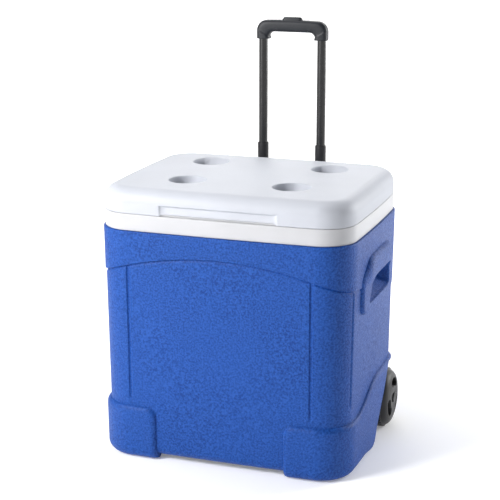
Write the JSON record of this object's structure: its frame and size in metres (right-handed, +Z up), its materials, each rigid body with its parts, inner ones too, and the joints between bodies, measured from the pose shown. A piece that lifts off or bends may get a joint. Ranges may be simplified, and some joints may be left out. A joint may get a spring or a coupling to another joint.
{
  "type": "wheeled cooler",
  "caption": "Wheeled drinks cooler with a textured blue body, a hinged white lid with can recesses, moulded side grips and a telescopic pull handle.",
  "frame": {"origin": "centre of the footprint of the whole object, on the ground that the front feet and the wheels stand on", "axes": "+Z up, -Y towards the front with the finger scoop of the lid, +Y towards the pull handle, +X to the right seen from the front"},
  "size_m": [0.531, 0.4694, 0.823],
  "materials": {
    "blue_plastic": "satin",
    "white_plastic": "satin",
    "lid_plastic": "satin",
    "foam": "matte",
    "black_plastic": "matte",
    "grip_plastic": "satin",
    "button_plastic": "satin",
    "wheel_plastic": "satin",
    "tube_paint": "gloss",
    "steel": "satin"
  },
  "bodies": {
    "cooler_body": {"outer_shell": "blue_plastic", "inner_liner": "white_plastic", "body_foam": "foam", "drain_bush": "white_plastic", "drain_nut": "white_plastic", "hinge_base_left": "white_plastic", "hinge_base_right": "white_plastic", "hinge_pin_left": "steel", "hinge_pin_right": "steel", "outer_tube_left": "tube_paint", "outer_tube_right": "tube_paint", "tube_collar_left": "black_plastic", "tube_collar_right": "black_plastic", "tube_bracket_top": "black_plastic", "tube_bracket_bottom": "black_plastic", "bracket_screws": "steel", "axle": "steel", "axle_bracket_left": "black_plastic", "axle_bracket_right": "black_plastic", "axle_washer_left": "steel", "axle_washer_right": "steel", "push_nut_left": "black_plastic", "push_nut_right": "black_plastic"},
    "lid": {"lid_shell": "lid_plastic", "lid_panel": "white_plastic", "lid_foam": "foam", "hinge_leaf_left": "white_plastic", "hinge_leaf_right": "white_plastic"},
    "pull_handle": {"inner_tube_left": "tube_paint", "inner_tube_right": "tube_paint", "guide_plug_left": "black_plastic", "guide_plug_right": "black_plastic", "grip": "grip_plastic", "button_spring": "steel"},
    "release": {"release_button": "button_plastic", "release_yoke": "black_plastic"},
    "catch_left": {"lock_pin_left": "steel"},
    "catch_right": {"lock_pin_right": "steel"},
    "wheel_left": {"wheel_left": "wheel_plastic"},
    "wheel_right": {"wheel_right": "wheel_plastic"},
    "drain_plug": {"drain_plug": "white_plastic"}
  },
  "joints": [
    {"name": "lid_hinge", "type": "hinge", "parent": "cooler_body", "child": "lid", "pos_m": [0, 0.17674, 0.512], "axis": [-1, 0, 0], "range_deg": [0, 90]},
    {"name": "handle_slide", "type": "slide", "parent": "cooler_body", "child": "pull_handle", "axis": [0, 0, 1], "range_m": [-0.215, 0]},
    {"name": "button_press", "type": "slide", "parent": "pull_handle", "child": "release", "axis": [0, 0, 1], "range_m": [-0.0035, 0], "stiffness_N_per_m": 600, "springref_m": 0.003, "deforming": ["button_spring"]},
    {"name": "catch_left_slide", "type": "slide", "parent": "pull_handle", "child": "catch_left", "axis": [1, 0, 0], "range_m": [0, 0.003]},
    {"name": "catch_right_slide", "type": "slide", "parent": "pull_handle", "child": "catch_right", "axis": [-1, 0, 0], "range_m": [0, 0.003]},
    {"name": "wheel_left_spin", "type": "hinge", "parent": "cooler_body", "child": "wheel_left", "pos_m": [-0.246, 0.10224, 0.0613], "axis": [1, 0, 0], "continuous": true},
    {"name": "wheel_right_spin", "type": "hinge", "parent": "cooler_body", "child": "wheel_right", "pos_m": [0.246, 0.10224, 0.0613], "axis": [1, 0, 0], "continuous": true},
    {"name": "drain_pull", "type": "slide", "parent": "cooler_body", "child": "drain_plug", "axis": [0, 1, 0], "range_m": [0, 0.03]}
  ],
  "couplings": [
    {"joint": "catch_left_slide", "follows": "button_press", "ratio": -0.8},
    {"joint": "catch_right_slide", "follows": "button_press", "ratio": -0.8}
  ]
}
